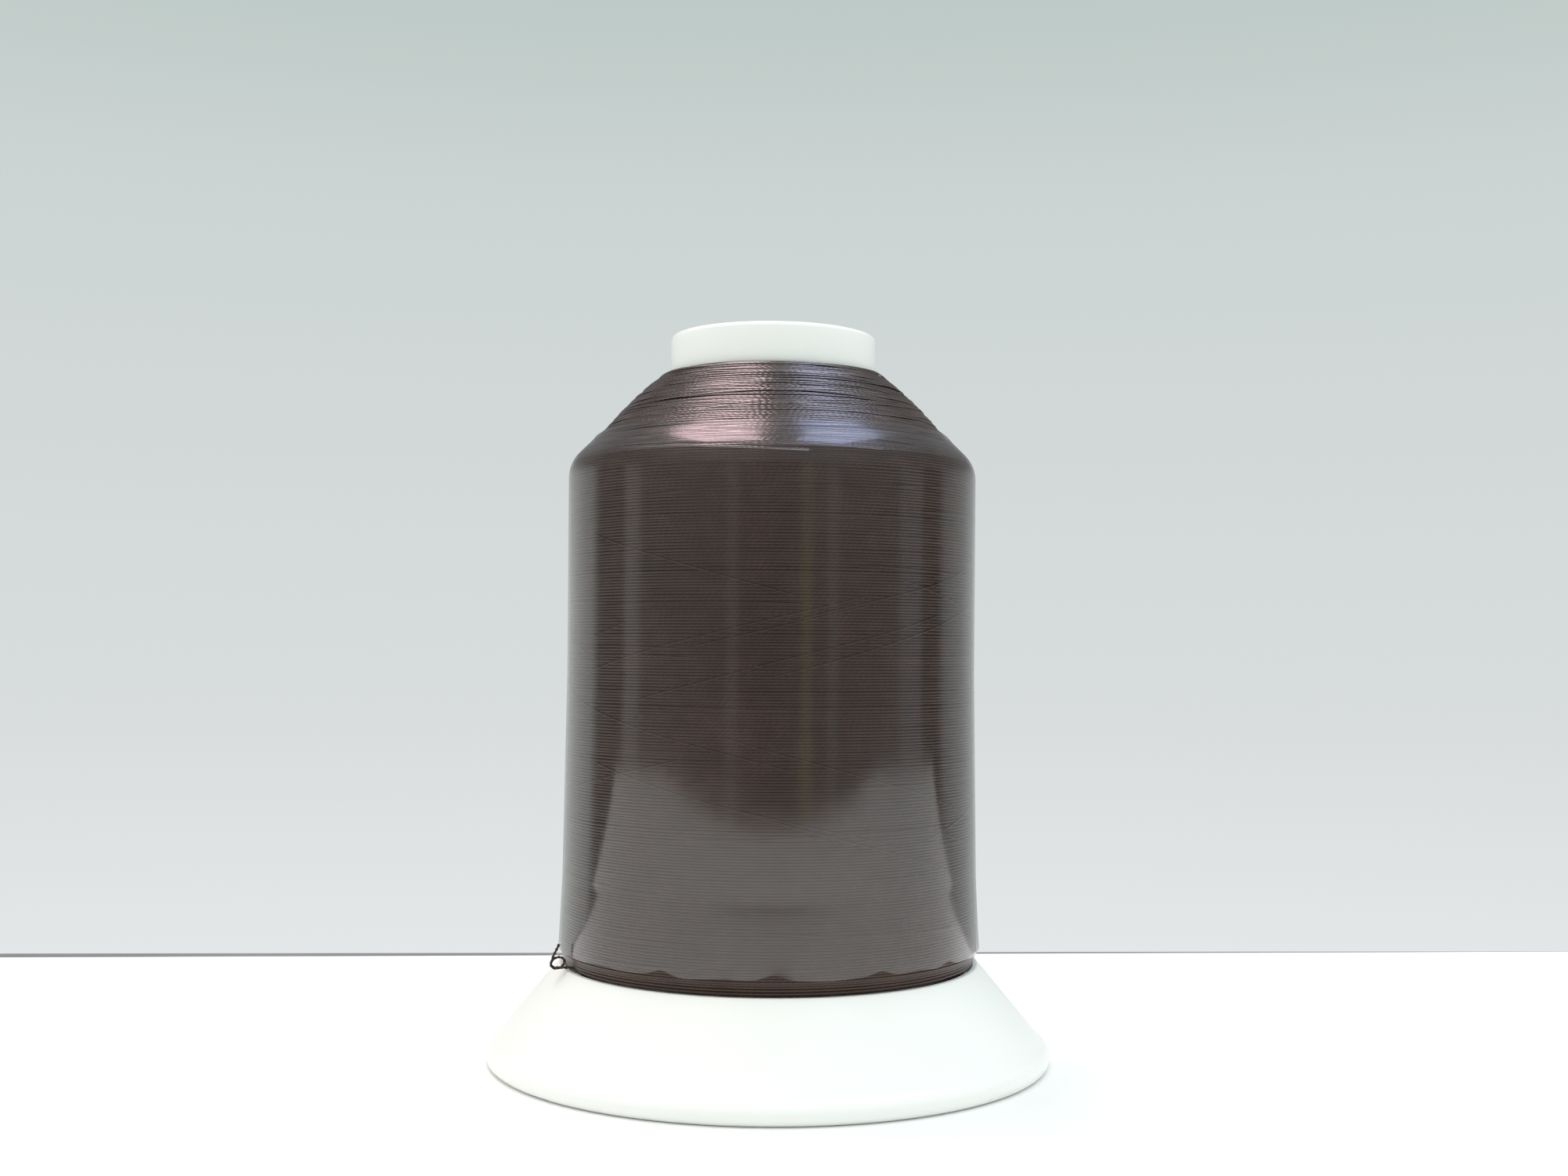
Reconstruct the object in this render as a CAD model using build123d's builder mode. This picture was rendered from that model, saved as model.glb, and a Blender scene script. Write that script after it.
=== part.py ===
from build123d import *
import os
from math import cos, hypot, pi, radians, sin, tan

# A snap spool of embroidery thread, standing on its base with +Z up.
# The origin is the centre of the foot's resting plane. All sizes are in millimetres.
# The base stays on the table. The barrel, with its thread, film and tail, lifts off it
# by a few millimetres to open the thread lock.

# ---- driving dimensions ----------------------------------------------------------------
overall_height = 75.2
snap_travel = 3.5

# Bell-shaped base
base_radius = 29.3
foot_edge_radius = 0.9
foot_width = 1.4
bell_top_radius = 21.8
bell_top_z = 10.1
bell_slope_foot_radius = 28.4
bell_slope_foot_z = 2.3
bell_wall = 1.5
cavity_foot_z = 1.9
web_top_z = 8.7
web_thickness = 1.4
lock_wall_radius = 21.2
lock_wall_edge_radius = 0.2

# Pin guide and snap fingers of the base
base_pin_radius = 4.5
pin_guide_wall = 1.4
pin_guide_bottom_z = 0.8
gusset_count = 6
gusset_thickness = 1.0
gusset_reach = 2.4
gusset_height = 3.0
gusset_root = 0.2
first_gusset_azimuth = 30
finger_outer_radius = 7.0
finger_inner_radius = 5.7
finger_top_z = 17.0
hook_reach = 0.75
hook_land = 0.8
hook_clearance = 0.1
detent_reach = 0.12
detent_rise = 0.45
slot_count = 4
slot_width = 2.2
slot_bottom_z = 10.4
slot_overrun = 0.4

# Barrel
barrel_radius = 9.4
barrel_bore_radius = 8.0
collar_radius = 10.73
collar_height = 4.0
collar_edge_radius = 0.5
collar_recess_radius = 9.2
collar_recess_depth = 0.8
collar_recess_edge_radius = 0.25
top_web_thickness = 2.0
top_pin_radius = 3.75
top_pin_guide_length = 8.0
top_pin_chamfer = 0.4
flange_radius = 20.75
flange_bottom_z = 8.75
pack_bottom_z = 10.6
lip_inner_radius = 7.2
lip_thickness = 1.25
key_width = 1.4
key_inner_radius = 6.3
key_bottom_z = 10.8
key_height = 2.2
key_root = 0.2
lock_groove_z = 9.75
lock_groove_depth = 0.45
lock_groove_width = 0.8
notch_width = 3.4
notch_depth = 0.75
notch_azimuths = (17, 205.5)

# Wound thread
pack_foot_radius = 21.35
pack_bulge_radius = 21.75
pack_bulge_z = 11.5
pack_low_radius = 21.4
pack_low_z = 19.0
pack_radius = 21.05
pack_shoulder_z = 61.6
pack_top_radius = 11.3
shoulder_round = 3.2
foot_round = 0.8

# Shrink film
film_gap = 0.03
film_thickness = 0.12
film_bottom_z = 12.1
film_top_z = 64.9

# Paper ring under the base
label_inner_radius = 9.6
label_outer_radius = 19.4
label_thickness = 0.12

# Thread end
thread_diameter = 0.3
lay_radius = 20.6
curl_centre = Vector(-21.3, -8.0, 11.1)
curl_sideways = Vector(0.876, -0.482, 0)
curl_drift = Vector(0.13, -0.99, 0)
curl_length = 1.72
curl_width = 1.16
curl_tilt = 32
curl_start = -92
curl_step = 45
curl_pitch = 0.05
curl_points = 12
arc_share = 0.45

# Edges closer than this to a plane lie in it
same_plane = 0.01

# ---- derived dimensions ----------------------------------------------------------------
collar_bottom_z = overall_height - collar_height
web_bottom_z = web_top_z - web_thickness
recess_z = overall_height - collar_recess_depth
top_web_underside = recess_z - top_web_thickness
lip_top_z = flange_bottom_z + lip_thickness
lip_middle_z = flange_bottom_z + lip_thickness / 2
pin_guide_radius = base_pin_radius + pin_guide_wall
bell_slope = (bell_slope_foot_radius - bell_top_radius) / (bell_top_z - bell_slope_foot_z)
bell_wall_across = bell_wall * hypot(1, bell_slope)


def bell_radius_at(z):
    """Outer radius of the bell's sloping side at height z."""
    return bell_top_radius + (bell_top_z - z) * bell_slope


def circles_at(part, z):
    """The circular edges in the plane at height z, the smallest first."""
    level = part.edges().filter_by(GeomType.CIRCLE).filter_by_position(Axis.Z, z - same_plane, z + same_plane)
    return level.sort_by(SortBy.RADIUS)


def export(part, name):
    part.label = name
    export_step(part, f"parts/{name}.step")


os.makedirs("parts", exist_ok=True)

# ---- snap base: bell, web, pin guide and snap fingers in one moulding ------------------
hook_underside_z = lip_top_z + snap_travel + hook_clearance
hook_top_z = hook_underside_z + hook_land
detent_z = lip_top_z + detent_rise

with BuildPart() as snap_base:
    with BuildSketch(Plane.XZ):
        # Bell wall with its rounded foot, the web and the low wall round the thread lock
        with BuildLine():
            foot_inner = base_radius - foot_edge_radius - foot_width
            under = Polyline(
                (base_pin_radius, pin_guide_bottom_z),
                (pin_guide_radius, pin_guide_bottom_z),
                (pin_guide_radius, web_bottom_z),
                (bell_radius_at(web_bottom_z) - bell_wall_across, web_bottom_z),
                (bell_radius_at(cavity_foot_z) - bell_wall_across, cavity_foot_z),
                (foot_inner, 0),
                (base_radius - foot_edge_radius, 0),
            )
            foot_edge = TangentArc(under @ 1, (base_radius, foot_edge_radius), tangent=(1, 0))
            rim = TangentArc(
                foot_edge @ 1, (bell_slope_foot_radius, bell_slope_foot_z), tangent=(0, 1)
            )
            Polyline(
                rim @ 1,
                (bell_top_radius, bell_top_z),
                (lock_wall_radius, bell_top_z),
                (lock_wall_radius, web_top_z),
                (finger_outer_radius, web_top_z),
                (finger_outer_radius, finger_top_z),
                (finger_inner_radius, finger_top_z),
                (finger_inner_radius, web_top_z),
                (base_pin_radius, web_top_z),
                under @ 0,
            )
        make_face()
        # Hooks at the finger tips
        with BuildLine():
            Polyline(
                (finger_outer_radius, hook_underside_z),
                (finger_outer_radius + hook_reach, hook_underside_z),
                (finger_outer_radius + hook_reach, hook_top_z),
                (finger_outer_radius, finger_top_z),
                close=True,
            )
        make_face()
        # Small detent bead that keeps the lock shut
        with Locations((finger_outer_radius, detent_z)):
            Circle(detent_reach)
    revolve(axis=Axis.Z)
    # Slots that free the fingers
    with BuildSketch(Plane.XY.offset(slot_bottom_z)):
        with PolarLocations(0, slot_count // 2, angular_range=180):
            Rectangle(4 * finger_outer_radius, slot_width)
        Circle(finger_inner_radius - slot_overrun, mode=Mode.SUBTRACT)
    extrude(amount=overall_height, mode=Mode.SUBTRACT)
    # Gussets between the pin guide and the web
    with BuildSketch(Plane.XZ) as gusset_profile:
        with BuildLine():
            Polyline(
                (pin_guide_radius - gusset_root, web_bottom_z - gusset_height),
                (pin_guide_radius, web_bottom_z - gusset_height),
                (pin_guide_radius + gusset_reach, web_bottom_z),
                (pin_guide_radius + gusset_reach, web_bottom_z + gusset_root),
                (pin_guide_radius - gusset_root, web_bottom_z + gusset_root),
                close=True,
            )
        make_face()
    gusset = extrude(gusset_profile.sketch, amount=gusset_thickness / 2, both=True, mode=Mode.PRIVATE)
    with PolarLocations(0, gusset_count, start_angle=first_gusset_azimuth):
        add(gusset)
    fillet(circles_at(snap_base, bell_top_z), lock_wall_edge_radius)
export(snap_base.part, "snap_base")

# ---- barrel: collar, winding tube, flange and snap lip in one moulding -----------------
with BuildPart() as core_barrel:
    with BuildSketch(Plane.XZ):
        with BuildLine():
            Polyline(
                (lip_inner_radius, flange_bottom_z),
                (flange_radius, flange_bottom_z),
                (flange_radius, lock_groove_z - lock_groove_width / 2),
                (flange_radius - lock_groove_depth, lock_groove_z - lock_groove_width / 4),
                (flange_radius - lock_groove_depth, lock_groove_z + lock_groove_width / 4),
                (flange_radius, lock_groove_z + lock_groove_width / 2),
                (flange_radius, pack_bottom_z),
                (barrel_radius, pack_bottom_z),
                (barrel_radius, collar_bottom_z),
                (collar_radius, collar_bottom_z),
                (collar_radius, overall_height),
                (collar_recess_radius, overall_height),
                (collar_recess_radius, recess_z),
                (top_pin_radius + top_pin_chamfer, recess_z),
                (top_pin_radius, recess_z - top_pin_chamfer),
                (top_pin_radius, recess_z - top_pin_guide_length),
                (top_pin_radius + pin_guide_wall, recess_z - top_pin_guide_length),
                (top_pin_radius + pin_guide_wall, top_web_underside),
                (barrel_bore_radius, top_web_underside),
                (barrel_bore_radius, lip_top_z),
                (lip_inner_radius, lip_top_z),
                close=True,
            )
        make_face()
    revolve(axis=Axis.Z)
    # Keys that run in the finger slots, so that the base can't turn on the barrel
    with BuildSketch(Plane.XY.offset(key_bottom_z)):
        with PolarLocations(0, slot_count // 2, angular_range=180):
            Rectangle(2 * (barrel_bore_radius + key_root), key_width)
        Circle(key_inner_radius, mode=Mode.SUBTRACT)
    extrude(amount=key_height)
    # Notches that let the thread end down into the lock groove and out again
    with BuildSketch(Plane.XY.offset(lip_middle_z)):
        for azimuth in notch_azimuths:
            with PolarLocations(flange_radius, 1, start_angle=azimuth):
                Rectangle(2 * notch_depth, notch_width)
    extrude(amount=pack_bottom_z - flange_bottom_z, mode=Mode.SUBTRACT)
    fillet(circles_at(core_barrel, overall_height)[-1], collar_edge_radius)
    fillet(circles_at(core_barrel, overall_height)[0], collar_recess_edge_radius)
export(core_barrel.part, "core_barrel")

# ---- wound thread: one body of revolution on the barrel --------------------------------
with BuildSketch(Plane.XZ) as pack_section:
    with BuildLine():
        Polyline(
            (barrel_radius, pack_bottom_z),
            (pack_foot_radius, pack_bottom_z),
            (pack_bulge_radius, pack_bulge_z),
            (pack_low_radius, pack_low_z),
            (pack_radius, (pack_low_z + pack_shoulder_z) / 2),
            (pack_radius, pack_shoulder_z),
            (pack_top_radius, collar_bottom_z),
            (barrel_radius, collar_bottom_z),
            close=True,
        )
    make_face()
    shoulder_corner = pack_section.vertices().sort_by_distance((pack_radius, pack_shoulder_z))[0]
    fillet(shoulder_corner, shoulder_round)
    belly = pack_section.vertices().sort_by_distance((pack_bulge_radius, pack_bulge_z))[0]
    fillet(belly, foot_round)

with BuildPart() as thread_package:
    add(pack_section.sketch)
    revolve(axis=Axis.Z)
export(thread_package.part, "thread_package")
print("pack volume cm3", round(thread_package.part.volume / 1000, 1))

# ---- shrink film: a thin skin over the wall and the lower shoulder of the pack ---------
with BuildPart() as film_sleeve:
    with BuildSketch(Plane.XZ):
        add(pack_section.sketch_local)
        offset(amount=film_gap + film_thickness, kind=Kind.INTERSECTION)
        with BuildSketch(mode=Mode.PRIVATE) as film_inside:
            add(pack_section.sketch_local)
            offset(amount=film_gap, kind=Kind.INTERSECTION)
        add(film_inside.sketch_local, mode=Mode.SUBTRACT)
        with Locations((barrel_radius + film_gap + film_thickness, film_bottom_z)):
            Rectangle(base_radius, film_top_z - film_bottom_z, align=Align.MIN, mode=Mode.INTERSECT)
    revolve(axis=Axis.Z)
export(film_sleeve.part, "film_sleeve")

# ---- blank paper ring stuck under the web of the base ----------------------------------
with BuildPart() as base_label:
    with BuildSketch(Plane.XY.offset(web_bottom_z - label_thickness)):
        Circle(label_outer_radius)
        Circle(label_inner_radius, mode=Mode.SUBTRACT)
    extrude(amount=label_thickness)
export(base_label.part, "base_label")


# ---- thread end: from the pack, round the lock groove and out in a small curl ----------
def on_circle(azimuth, radius, z):
    return Vector(radius * cos(radians(azimuth)), radius * sin(radians(azimuth)), z)


def curl_point(angle, drift):
    """A point of the curl, an oval whose long axis rises outwards from the pack."""
    along = curl_length / 2 * cos(radians(angle))
    beside = curl_width / 2 * sin(radians(angle))
    tilt = radians(curl_tilt)
    sideways = along * cos(tilt) - beside * sin(tilt)
    upwards = along * sin(tilt) + beside * cos(tilt)
    return curl_centre + curl_sideways * sideways + Vector(0, 0, upwards) + curl_drift * drift


def cord_radii(points):
    """The radius of the arc at each inner point: a share of the shorter run over tan(half the turn)."""
    radii = []
    for before, here, after in zip(points, points[1:], points[2:]):
        run_in = here - before
        run_out = after - here
        half_turn = radians(run_in.get_angle(run_out)) / 2
        radii.append(arc_share * min(run_in.length, run_out.length) / tan(half_turn))
    return radii


# Out of the foot of the pack and down into the groove
leaving = [
    on_circle(19.4, 20.45, 10.95),
    on_circle(17.4, 20.5, 10.45),
    on_circle(14.4, 20.55, 9.9),
]
# Round the groove
lay_azimuths = (9, 0, -12, -24, -36, -48, -60, -72, -84, -96, -108, -120, -131, -140, -147, -151)
groove = [on_circle(azimuth, lay_radius, lock_groove_z) for azimuth in lay_azimuths]
# Up through the notch and out over the wall of the base
rising = [
    on_circle(-153.8, 20.75, 10.05),
    on_circle(-156.3, 21.05, 10.38),
    on_circle(-158, 21.55, 10.42),
    Vector(-20.5, -8.12, 10.42),
]
# One turn and a half of a curl that stands off the foot of the pack
curl = [curl_point(curl_start - curl_step * n, curl_pitch * n) for n in range(curl_points)]
# The cut end
stub = [Vector(-21.66, -8.36, 11.74), Vector(-21.37, -8.55, 12.32), Vector(-21.14, -8.68, 12.84)]

tail_points = leaving + groove + rising + curl + stub
tail_radii = cord_radii(tail_points)
with BuildPart() as thread_tail:
    with BuildLine() as tail_route:
        FilletPolyline(*tail_points, radius=tail_radii)
    with BuildSketch(Plane(origin=tail_route.line @ 0, z_dir=tail_route.line % 0)):
        Circle(thread_diameter / 2)
    sweep(path=tail_route.line)
export(thread_tail.part, "thread_tail")

tail_length = sum(edge.length for edge in tail_route.edges())
section = pi * thread_diameter**2 / 4
print("tail radii", [round(radius, 2) for radius in tail_radii])
print("tail length", round(tail_length, 2), "volume over section times length",
      round(thread_tail.part.volume / (section * tail_length), 4))
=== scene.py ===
import math
import bpy
import numpy as np
from mathutils import Matrix, Vector


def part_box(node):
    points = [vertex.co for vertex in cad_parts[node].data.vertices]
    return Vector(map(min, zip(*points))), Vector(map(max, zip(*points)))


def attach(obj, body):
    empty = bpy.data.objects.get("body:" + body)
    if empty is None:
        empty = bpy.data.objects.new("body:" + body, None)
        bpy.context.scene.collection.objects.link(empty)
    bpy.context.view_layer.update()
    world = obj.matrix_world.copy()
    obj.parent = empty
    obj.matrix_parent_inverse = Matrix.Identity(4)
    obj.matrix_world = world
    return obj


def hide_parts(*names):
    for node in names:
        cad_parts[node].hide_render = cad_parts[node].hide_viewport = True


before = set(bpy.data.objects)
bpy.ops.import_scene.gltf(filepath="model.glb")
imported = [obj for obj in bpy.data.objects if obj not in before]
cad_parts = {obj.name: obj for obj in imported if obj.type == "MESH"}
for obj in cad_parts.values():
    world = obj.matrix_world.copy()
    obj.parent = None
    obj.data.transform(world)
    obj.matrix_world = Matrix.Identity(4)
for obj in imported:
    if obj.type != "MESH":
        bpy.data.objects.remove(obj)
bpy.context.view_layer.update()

# A snap spool of embroidery thread: a white barrel on a bell-shaped snap base, wound with
# fine dark thread, wrapped in clear shrink film, with the cut thread end held in the lock.
# Lengths are in metres. MM turns millimetres into metres.
MM = 0.001
rng = np.random.default_rng(20)

# ---- camera ------------------------------------------------------------------------------
CAMERA_PLACE = Vector((1.36, -187.46, 42.6)) * MM
CAMERA_LENS = 40.95
CAMERA_RISE = 0.039
CAMERA_ROLL = math.radians(0.45)

camera_data = bpy.data.cameras.new("photo_camera")
camera_data.sensor_width = 36
camera_data.lens = CAMERA_LENS
camera_data.shift_y = CAMERA_RISE
camera_data.clip_start = 0.005
camera_data.clip_end = 20
camera = bpy.data.objects.new("photo_camera", camera_data)
camera.matrix_world = (
    Matrix.Translation(CAMERA_PLACE)
    @ Matrix.Rotation(math.pi / 2, 4, "X")
    @ Matrix.Rotation(CAMERA_ROLL, 4, "Z")
)
bpy.context.scene.collection.objects.link(camera)
bpy.context.scene.camera = camera


# ---- helpers for meshes ------------------------------------------------------------------
def add_object(name, data):
    made = bpy.data.objects.new(name, data)
    bpy.context.scene.collection.objects.link(made)
    return made


def mesh_from_grid(name, points, uv=None, close_rows=False, close_columns=False, caps=False):
    """A smooth mesh over a grid of points, rows by columns by 3, in metres.
    close_rows joins the last row to the first and close_columns the last column to the first.
    caps closes the first and the last row with a fan round their middle points."""
    rows, columns = points.shape[:2]
    last_row = rows if close_rows else rows - 1
    last_column = columns if close_columns else columns - 1
    i, j = np.meshgrid(np.arange(last_row), np.arange(last_column), indexing="ij")
    i, j = i.ravel(), j.ravel()
    i_next, j_next = (i + 1) % rows, (j + 1) % columns
    quads = np.stack(
        [i * columns + j, i * columns + j_next, i_next * columns + j_next, i_next * columns + j], 1
    )
    vertices = points.reshape(-1, 3)
    loops = quads.ravel()
    sizes = np.full(len(quads), 4)
    corner_uv = None
    if uv is not None:
        row_at = np.stack([i, i, i + 1, i + 1], 1).ravel()
        column_at = np.stack([j, j + 1, j + 1, j], 1).ravel()
        corner_uv = np.stack([uv[0][column_at], uv[1][row_at]], 1)
    if caps:
        middles = np.array([points[0].mean(0), points[-1].mean(0)])
        first, last = len(vertices), len(vertices) + 1
        vertices = np.vstack([vertices, middles])
        c = np.arange(columns)
        c_next = (c + 1) % columns
        base = (rows - 1) * columns
        start_fan = np.stack([np.full(columns, first), c_next, c], 1)
        end_fan = np.stack([np.full(columns, last), base + c, base + c_next], 1)
        loops = np.concatenate([loops, start_fan.ravel(), end_fan.ravel()])
        sizes = np.concatenate([sizes, np.full(2 * columns, 3)])
        if uv is not None:
            fan_uv = np.zeros((6 * columns, 2))
            fan_uv[: 3 * columns, 1] = uv[1][0]
            fan_uv[3 * columns :, 1] = uv[1][-1]
            corner_uv = np.vstack([corner_uv, fan_uv])
    mesh = bpy.data.meshes.new(name)
    mesh.vertices.add(len(vertices))
    mesh.vertices.foreach_set("co", vertices.astype(np.float32).ravel())
    mesh.loops.add(len(loops))
    mesh.loops.foreach_set("vertex_index", loops.astype(np.int32))
    mesh.polygons.add(len(sizes))
    mesh.polygons.foreach_set("loop_start", np.concatenate([[0], np.cumsum(sizes)[:-1]]).astype(np.int32))
    mesh.polygons.foreach_set("use_smooth", np.ones(len(sizes), bool))
    if corner_uv is not None:
        layer = mesh.uv_layers.new(name="strand")
        layer.data.foreach_set("uv", corner_uv.astype(np.float32).ravel())
    mesh.update(calc_edges=True)
    mesh.validate()
    return mesh


def unit(vectors):
    return vectors / np.linalg.norm(vectors, axis=-1, keepdims=True)


def tube_points(centres, outward, half_width, sides, half_height=None):
    """Rings of points round a line of centres. outward is a direction near each ring's first point.
    half_height is the size of a ring, or of each ring, along outward, for a flattened strand."""
    half_height = np.reshape(half_width if half_height is None else half_height, (-1, 1, 1))
    half_width = np.reshape(half_width, (-1, 1, 1))
    along = unit(np.gradient(centres, axis=0))
    side = unit(np.cross(along, outward))
    up = np.cross(side, along)
    angle = np.arange(sides) / sides * 2 * math.pi
    rise = up[:, None, :] * np.cos(angle)[None, :, None] * half_height
    reach = side[:, None, :] * np.sin(angle)[None, :, None] * half_width
    return centres[:, None, :] + rise + reach


def smooth_noise(position, spacing, generator, count):
    """Random values spacing apart, joined by smooth steps, read at position."""
    values = generator.uniform(-1, 1, count + 2)
    scaled = position / spacing
    cell = np.clip(np.floor(scaled).astype(int), 0, count)
    part = scaled - cell
    ease = part * part * (3 - 2 * part)
    return values[cell] * (1 - ease) + values[cell + 1] * ease


# ---- thread end: its line is one smooth spline over the route of the CAD solid --------------
THREAD_DIAMETER = 0.3
LAY_RADIUS = 20.6
LOCK_GROOVE_Z = 9.75
CURL_CENTRE = Vector((-21.17, -8.0, 10.93))
CURL_SIDEWAYS = Vector((0.876, -0.482, 0))
CURL_DRIFT = Vector((0.13, -0.99, 0))
CURL_LENGTH = 1.88
CURL_WIDTH = 1.1
CURL_TILT = math.radians(22)
CURL_START = -92
CURL_STEP = 45
CURL_PITCH = 0.05
CURL_POINTS = 12
LAY_AZIMUTHS = (9, 0, -12, -24, -36, -48, -60, -72, -84, -96, -108, -120, -131, -140, -147, -151)


def on_circle(azimuth, radius, z):
    return Vector((radius * math.cos(math.radians(azimuth)), radius * math.sin(math.radians(azimuth)), z))


def curl_point(angle, drift):
    """A point of the curl, an oval whose long axis rises outwards from the pack."""
    along = CURL_LENGTH / 2 * math.cos(math.radians(angle))
    beside = CURL_WIDTH / 2 * math.sin(math.radians(angle))
    sideways = along * math.cos(CURL_TILT) - beside * math.sin(CURL_TILT)
    upwards = along * math.sin(CURL_TILT) + beside * math.cos(CURL_TILT)
    return CURL_CENTRE + CURL_SIDEWAYS * sideways + Vector((0, 0, upwards)) + CURL_DRIFT * drift


leaving = [on_circle(19.4, 20.45, 10.95), on_circle(17.4, 20.5, 10.45), on_circle(14.4, 20.55, 9.9)]
groove = [on_circle(azimuth, LAY_RADIUS, LOCK_GROOVE_Z) for azimuth in LAY_AZIMUTHS]
rising = [
    on_circle(-153.8, 20.75, 10.05),
    on_circle(-156.3, 21.05, 10.38),
    on_circle(-158, 21.55, 10.42),
    Vector((-20.5, -8.12, 10.42)),
]
curl = [curl_point(CURL_START - CURL_STEP * n, CURL_PITCH * n) for n in range(CURL_POINTS)]
stub = [Vector((-21.56, -8.36, 11.66)), Vector((-21.22, -8.55, 12.28)), Vector((-20.96, -8.68, 12.84))]
tail_route = [point * MM for point in leaving + groove + rising + curl + stub]

route_curve = bpy.data.curves.new("thread_tail_line", "CURVE")
route_curve.dimensions = "3D"
route_curve.resolution_u = 24
route_spline = route_curve.splines.new("NURBS")
route_spline.points.add(len(tail_route) - 1)
for spline_point, place in zip(route_spline.points, tail_route):
    spline_point.co = (*place, 1)
route_spline.order_u = 3
route_spline.use_endpoint_u = True
route_object = add_object("thread_tail_line", route_curve)
route_mesh = bpy.data.meshes.new_from_object(route_object)
tail_line = np.array([tuple(vertex.co) for vertex in route_mesh.vertices])
bpy.data.objects.remove(route_object)

# Two plies twisted round each other, which together are as thick as the thread
PLY_RADIUS = 0.085
PLY_SIDES = 8
PLY_TWIST = 0.95
PLY_STEP = 0.06
tail_steps = np.linalg.norm(np.diff(tail_line, axis=0), axis=1)
tail_run = np.concatenate([[0], np.cumsum(tail_steps)])
tail_length = tail_run[-1]
fine_run = np.linspace(0, tail_length, int(tail_length / (PLY_STEP * MM)))
tail_fine = np.stack([np.interp(fine_run, tail_run, tail_line[:, axis]) for axis in range(3)], 1)


def carried_frame(line):
    """A direction across the line at each of its points, which doesn't twist about it."""
    along = unit(np.gradient(line, axis=0))
    across = np.zeros_like(line)
    here = np.cross(along[0], (0, 0, 1.0))
    for n, direction in enumerate(along):
        here = here - direction * here.dot(direction)
        here = here / np.linalg.norm(here)
        across[n] = here
    return along, across


tail_along, tail_across = carried_frame(tail_fine)
tail_beside = np.cross(tail_along, tail_across)
ply_meshes = []
for ply in range(2):
    turn = fine_run / (PLY_TWIST * MM) * 2 * math.pi + ply * math.pi
    outward = tail_across * np.cos(turn)[:, None] + tail_beside * np.sin(turn)[:, None]
    ply_centre = tail_fine + outward * (THREAD_DIAMETER / 2 - PLY_RADIUS) * MM
    rings = tube_points(ply_centre, outward, PLY_RADIUS * MM, PLY_SIDES)
    ply_uv = (np.arange(PLY_SIDES + 1) / PLY_SIDES, fine_run / MM)
    ply_meshes.append(mesh_from_grid("ply", rings, ply_uv, close_columns=True, caps=True))


def joined(name, meshes):
    """One object from several meshes."""
    parts = [add_object(name, mesh) for mesh in meshes]
    with bpy.context.temp_override(active_object=parts[0], selected_editable_objects=parts):
        bpy.ops.object.join()
    return parts[0]


tail = joined("thread_end", ply_meshes)

# ---- shapes read from the CAD nodes --------------------------------------------------------


def outer_profile(node):
    """(z, r) points of the outside of a node turned about Z, from its foot to its top, in metres."""
    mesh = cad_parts[node].data
    co = np.zeros(len(mesh.vertices) * 3)
    mesh.vertices.foreach_get("co", co)
    co = co.reshape(-1, 3)
    radius = np.hypot(co[:, 0], co[:, 1])
    pairs = {(round(float(z), 6), round(float(r), 6)) for z, r in zip(co[:, 2], radius)}
    widest = {}
    for z, r in pairs:
        widest[z] = max(r, widest.get(z, 0))
    return np.array(sorted(widest.items()))


# The lowest wraps spill over the barrel's flange, down to the base's lip
FOOT_Z = 10.12
FOOT_RADIUS = 21.32
PROFILE_STEPS = 320
NORMAL_REACH = 0.25
coarse = np.vstack([[[FOOT_Z * MM, FOOT_RADIUS * MM]], outer_profile("thread_package")])


def run_along(profile):
    """The distance along a profile at each of its points."""
    return np.concatenate([[0], np.cumsum(np.hypot(*np.diff(profile, axis=0).T))])


even_run = np.linspace(0, run_along(coarse)[-1], PROFILE_STEPS)
pack_profile = np.stack([np.interp(even_run, run_along(coarse), coarse[:, axis]) for axis in range(2)], 1)

# The cone of the shoulder is wound a little full at half its height
SWELL = 0.33
SWELL_LOW_Z = 63.8
SWELL_HIGH_Z = 72.0
cone_share = np.clip((pack_profile[:, 0] / MM - SWELL_LOW_Z) / (SWELL_HIGH_Z - SWELL_LOW_Z), 0, 1)
pack_profile += (SWELL * MM * np.sin(math.pi * cone_share) * math.sqrt(0.5))[:, None]
pack_run = run_along(pack_profile)
pack_length = pack_run[-1]


def pack_at(run):
    """(z, r) and the outward normal's (z, r) at a distance along the pack's profile."""
    z = np.interp(run, pack_run, pack_profile[:, 0])
    r = np.interp(run, pack_run, pack_profile[:, 1])
    before = run - NORMAL_REACH * MM
    after = run + NORMAL_REACH * MM
    z_step, r_step = (
        np.interp(after, pack_run, pack_profile[:, axis]) - np.interp(before, pack_run, pack_profile[:, axis])
        for axis in range(2)
    )
    size = np.hypot(z_step, r_step)
    return z, r, -r_step / size, z_step / size


# ---- wound thread --------------------------------------------------------------------------
WRAP_PITCH = 0.285
FIRST_RUN = 0.1
START_AZIMUTH = 0.7
END_MARGIN = 0.3
PROFILE_MARGIN = 0.02
STRAND_HALF_WIDTH = 0.155
STRAND_HALF_HEIGHT = 0.055
PRESSED_HALF_WIDTH = 0.17
PRESSED_HALF_HEIGHT = 0.024
STRAND_SIDES = 6
SEGMENTS_PER_TURN = 132
SKIN = 0.02
SHOULDER_Z = 61.6
SHOULDER_EASE = 1.5
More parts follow.
